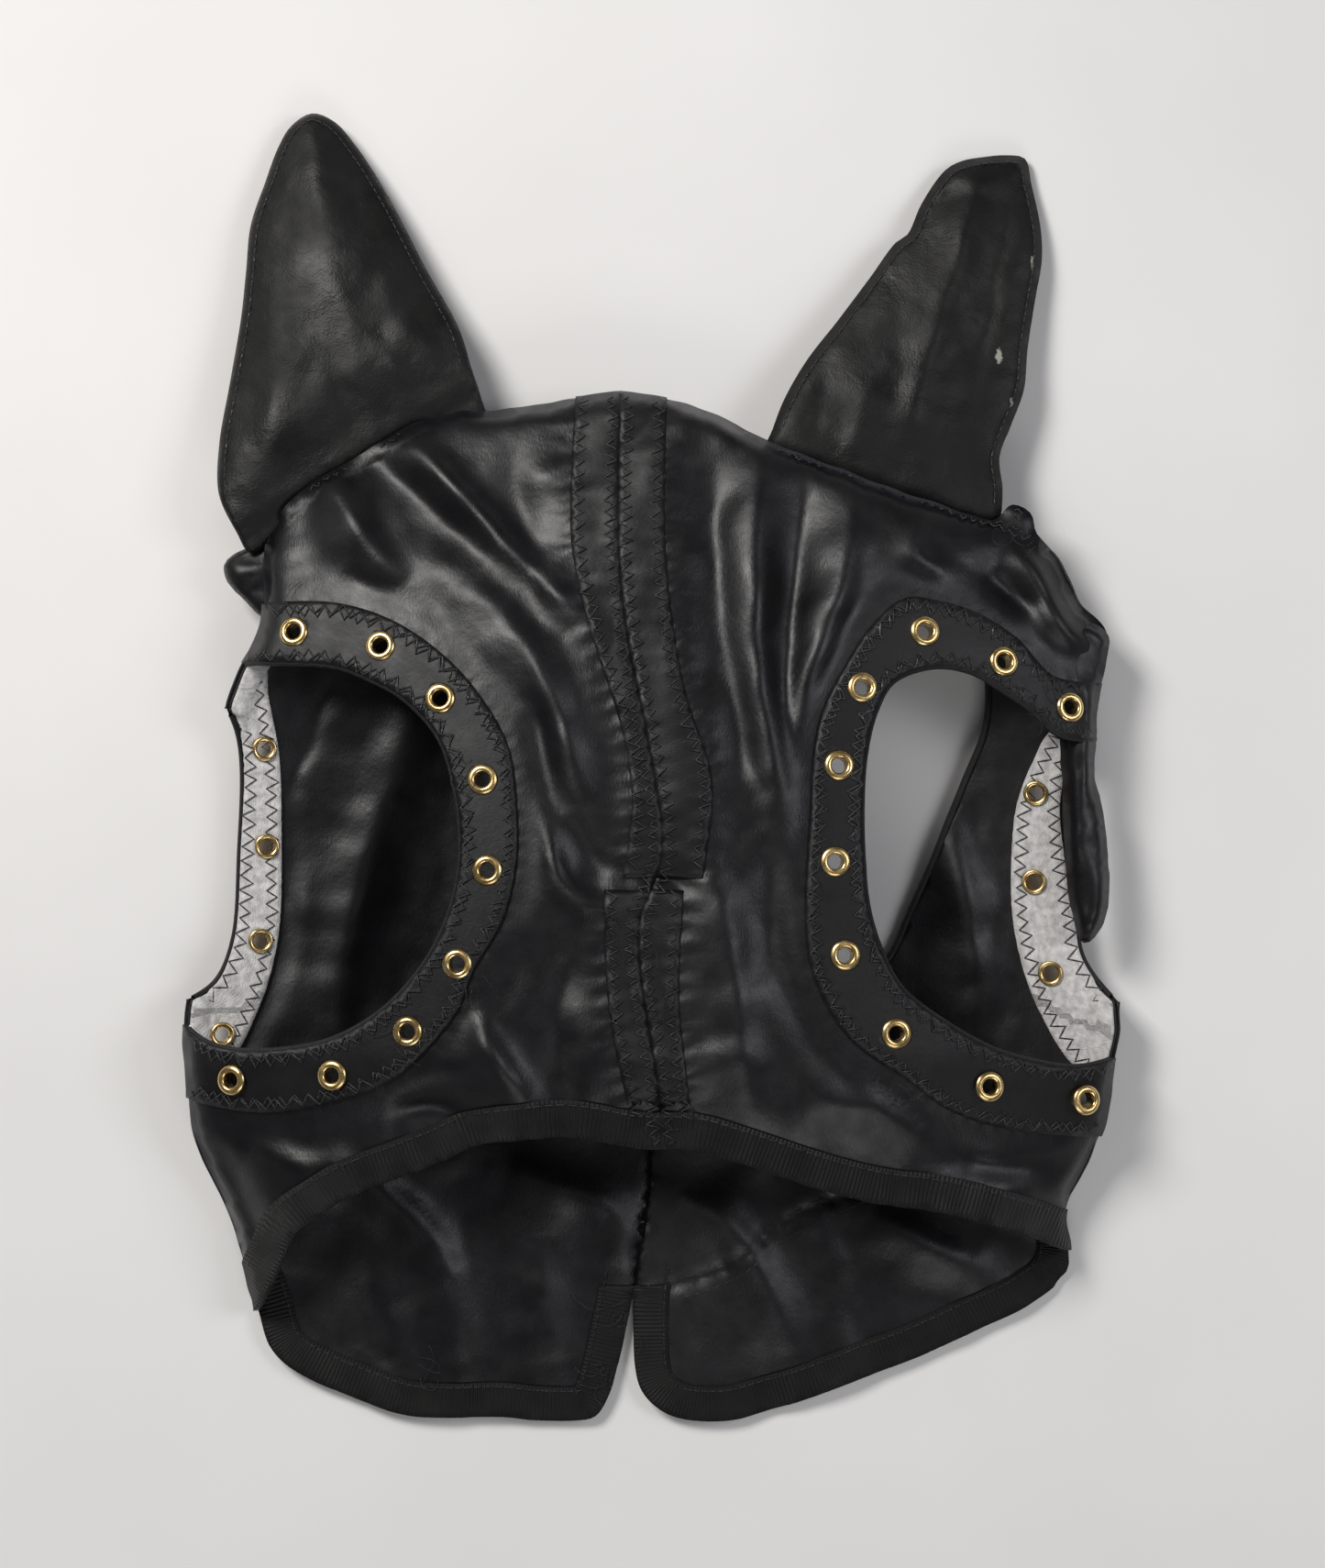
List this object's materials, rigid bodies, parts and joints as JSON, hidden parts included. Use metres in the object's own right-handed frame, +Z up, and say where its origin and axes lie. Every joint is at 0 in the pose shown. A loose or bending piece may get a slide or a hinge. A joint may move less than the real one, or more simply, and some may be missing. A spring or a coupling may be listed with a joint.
{
  "type": "eared satin hood",
  "caption": "Black satin head hood with two pointed ears, side openings edged with brass eyelets, ribbon-bound hems and a split neck.",
  "frame": {"origin": "on the table, under the middle of the hood's bounding box, as the hood lies on its back", "axes": "+Z up from the table, +Y from the neck towards the ear tips, +X to the right of somebody looking down with the ears away from them"},
  "size_m": [0.2958, 0.4169, 0.0528],
  "materials": {
    "satin": "satin",
    "band_cloth": "satin",
    "grosgrain": "matte",
    "felt": "matte",
    "eyelet_brass": "polished",
    "ear_cloth": "matte",
    "ear_stiffener": "matte"
  },
  "bodies": {
    "hood": {"front_left_panel": "satin", "front_right_panel": "satin", "back_left_panel": "satin", "back_right_panel": "satin", "back_crown_panel": "satin", "upper_left_seam_strip": "band_cloth", "upper_right_seam_strip": "band_cloth", "lower_left_seam_strip": "band_cloth", "lower_right_seam_strip": "band_cloth", "front_hem_ribbon": "grosgrain", "left_eyelet_band": "band_cloth", "right_eyelet_band": "band_cloth", "left_felt_facing": "felt", "right_felt_facing": "felt", "left_eyelets": "eyelet_brass", "right_eyelets": "eyelet_brass"},
    "left_ear": {"left_ear_front": "ear_cloth", "left_ear_back": "ear_cloth", "left_ear_stiffener": "ear_stiffener"},
    "right_ear": {"right_ear_front": "ear_cloth", "right_ear_back": "ear_cloth", "right_ear_stiffener": "ear_stiffener"},
    "left_flap": {"left_neck_flap": "satin", "left_flap_ribbon": "grosgrain"},
    "right_flap": {"right_neck_flap": "satin", "right_flap_ribbon": "grosgrain"}
  },
  "joints": [
    {"name": "left_ear_seam", "type": "hinge", "parent": "hood", "child": "left_ear", "pos_m": [-0.0963, 0.0977, 0.018], "axis": [0.8478, 0.5304, 0], "range_deg": [-25, 25], "stiffness_Nm_per_rad": 0.05},
    {"name": "right_ear_seam", "type": "hinge", "parent": "hood", "child": "right_ear", "pos_m": [0.0783, 0.08935, 0.018], "axis": [0.9427, -0.3336, 0], "range_deg": [-25, 70], "stiffness_Nm_per_rad": 0.05},
    {"name": "left_flap_fold", "type": "hinge", "parent": "hood", "child": "left_flap", "pos_m": [-0.0657, -0.1701, 0.0015], "axis": [-0.9994, -0.0344, 0], "range_deg": [-80, 45]},
    {"name": "right_flap_fold", "type": "hinge", "parent": "hood", "child": "right_flap", "pos_m": [0.0643, -0.1593, 0.0015], "axis": [-0.9924, -0.1234, 0], "range_deg": [-80, 45]}
  ]
}
